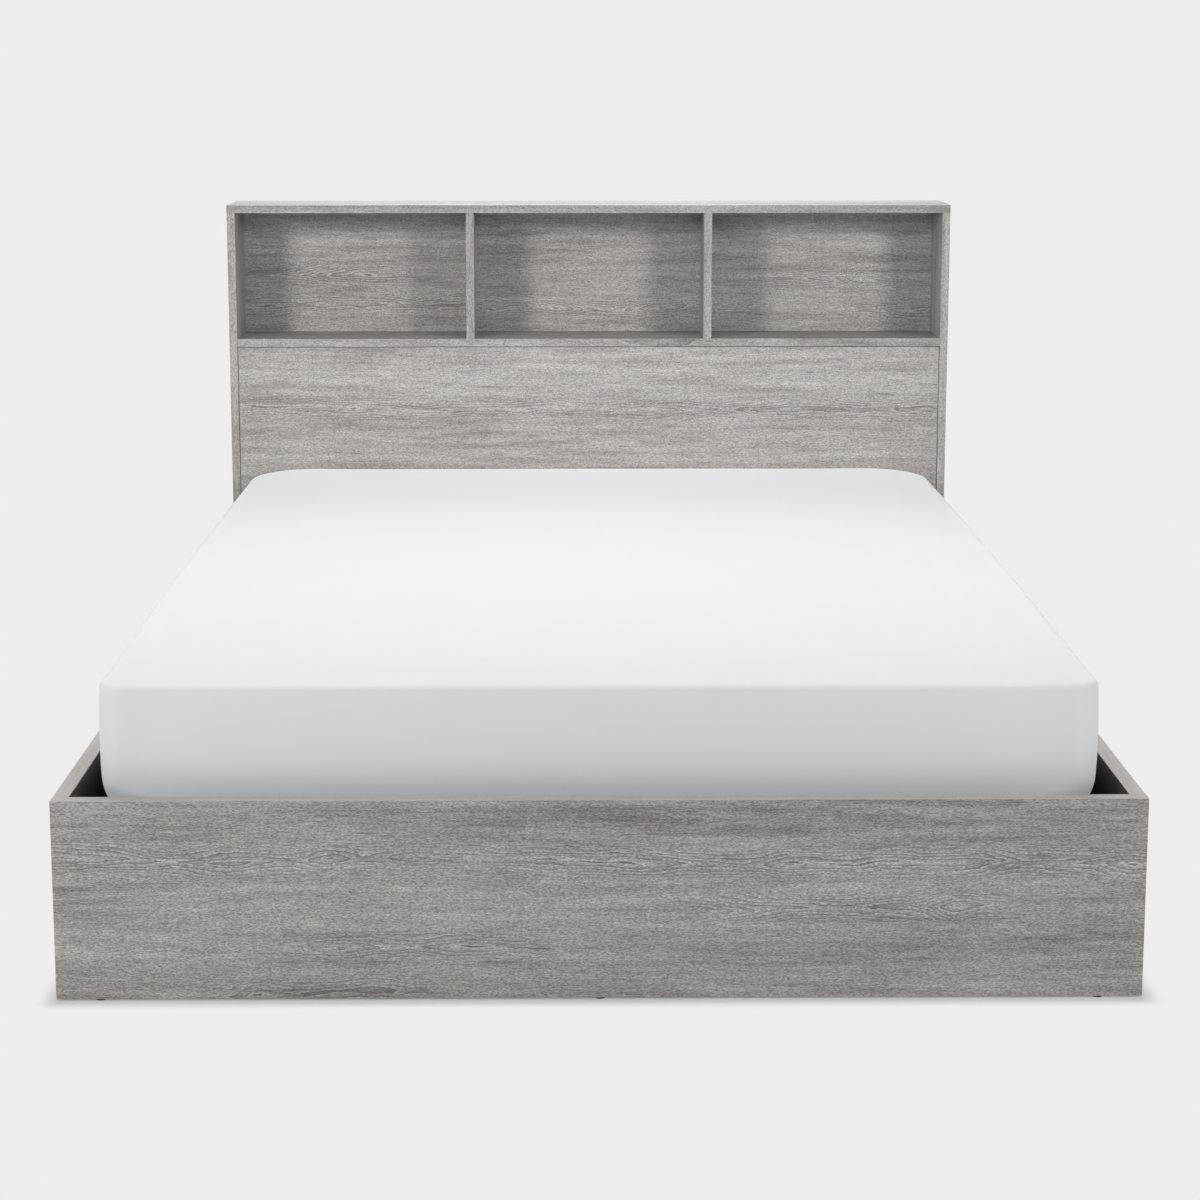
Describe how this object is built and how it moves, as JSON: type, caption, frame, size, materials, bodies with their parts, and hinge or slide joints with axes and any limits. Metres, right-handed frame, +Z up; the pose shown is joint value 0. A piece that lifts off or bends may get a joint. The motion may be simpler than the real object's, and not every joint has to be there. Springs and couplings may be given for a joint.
{
  "type": "ottoman bed",
  "caption": "Ottoman bed with a bookcase headboard, a storage box and a slatted platform that lifts at the foot end on gas struts.",
  "frame": {"origin": "centre of the footprint, on the floor that the glides stand on", "axes": "+X to the right as seen from the foot end, +Y from the foot end towards the headboard, +Z up"},
  "size_m": [1.46, 2.134, 0.955],
  "materials": {
    "oak_board": "grey oak grain melamine, satin",
    "floor_board": "dark hardboard, matt",
    "raw_timber": "planed softwood",
    "dowel_wood": "fluted beech",
    "slat_wood": "birch plywood, smooth",
    "black_steel": "black powder coat",
    "strut_barrel": "black enamel, satin",
    "strut_chrome": "polished",
    "zinc_steel": "zinc plated",
    "cam_metal": "die-cast zinc",
    "black_plastic": "matt",
    "roller_nylon": "natural nylon",
    "pad_rubber": "matt",
    "strap_webbing": "woven webbing",
    "mattress_ticking": "smooth white knit"
  },
  "bodies": {
    "bed_box": {"foot_panel": "oak_board", "left_side_rail": "oak_board", "right_side_rail": "oak_board", "headboard_left_side": "oak_board", "headboard_right_side": "oak_board", "headboard_top": "oak_board", "headboard_shelf": "oak_board", "headboard_left_divider": "oak_board", "headboard_right_divider": "oak_board", "headboard_back_panel": "oak_board", "headboard_front_panel": "oak_board", "headboard_rear_brace": "oak_board", "storage_floor_left": "floor_board", "storage_floor_right": "floor_board", "floor_centre_beam": "raw_timber", "floor_side_cleats": "raw_timber", "floor_end_cleats": "raw_timber", "floor_glides": "black_plastic", "corner_brackets": "black_steel", "bracket_screws": "zinc_steel", "joint_cam_locks": "cam_metal", "joint_cam_bolts": "zinc_steel", "joint_dowels": "dowel_wood", "platform_rests": "raw_timber", "platform_rest_pads": "pad_rubber", "left_hinge_plate": "black_steel", "right_hinge_plate": "black_steel", "left_guide_channel": "black_steel", "right_guide_channel": "black_steel", "mechanism_screws": "zinc_steel", "lift_pivot_pins": "zinc_steel", "strut_foot_studs": "zinc_steel"},
    "lift_arms": {"left_lift_arm": "black_steel", "right_lift_arm": "black_steel", "strut_head_studs": "zinc_steel"},
    "strut_cylinders": {"left_strut_cylinder": "strut_barrel", "right_strut_cylinder": "strut_barrel"},
    "strut_rods": {"left_strut_rod": "strut_chrome", "right_strut_rod": "strut_chrome"},
    "platform": {"platform_left_tube": "black_steel", "platform_right_tube": "black_steel", "platform_head_tube": "black_steel", "platform_foot_tube": "black_steel", "platform_centre_tube": "black_steel", "platform_tube_plugs": "black_plastic", "left_platform_plate": "black_steel", "right_platform_plate": "black_steel", "platform_pivot_pins": "zinc_steel", "roller_axles": "zinc_steel", "platform_bolts": "zinc_steel", "left_slats": "slat_wood", "right_slats": "slat_wood", "side_slat_holders": "black_plastic", "centre_slat_holders": "black_plastic", "mattress_retainer": "black_steel", "pull_strap": "strap_webbing", "mattress": "mattress_ticking"},
    "guide_rollers": {"guide_rollers": "roller_nylon"}
  },
  "joints": [
    {"name": "lift_arm_swing", "type": "hinge", "parent": "bed_box", "child": "lift_arms", "pos_m": [0, 0.1305, 0.142], "axis": [1, 0, 0], "range_deg": [0, 40]},
    {"name": "platform_tilt", "type": "hinge", "parent": "lift_arms", "child": "platform", "pos_m": [0, 0.44275, 0.212], "axis": [-1, 0, 0], "range_deg": [0, 80]},
    {"name": "strut_cylinder_swing", "type": "hinge", "parent": "bed_box", "child": "strut_cylinders", "pos_m": [0, 0.27089, 0.04], "axis": [1, 0, 0], "range_deg": [0, 20]},
    {"name": "strut_rod_swing", "type": "hinge", "parent": "lift_arms", "child": "strut_rods", "pos_m": [0, 0.28777, 0.21534], "axis": [-1, 0, 0], "range_deg": [0, 20]},
    {"name": "roller_spin", "type": "hinge", "parent": "platform", "child": "guide_rollers", "pos_m": [0, 0.755, 0.142], "axis": [1, 0, 0], "continuous": true}
  ],
  "couplings": [
    {"joint": "lift_arm_swing", "follows": "platform_tilt", "ratio": 0.5},
    {"joint": "strut_cylinder_swing", "follows": "platform_tilt", "ratio": 0.25},
    {"joint": "strut_rod_swing", "follows": "platform_tilt", "ratio": 0.25}
  ]
}
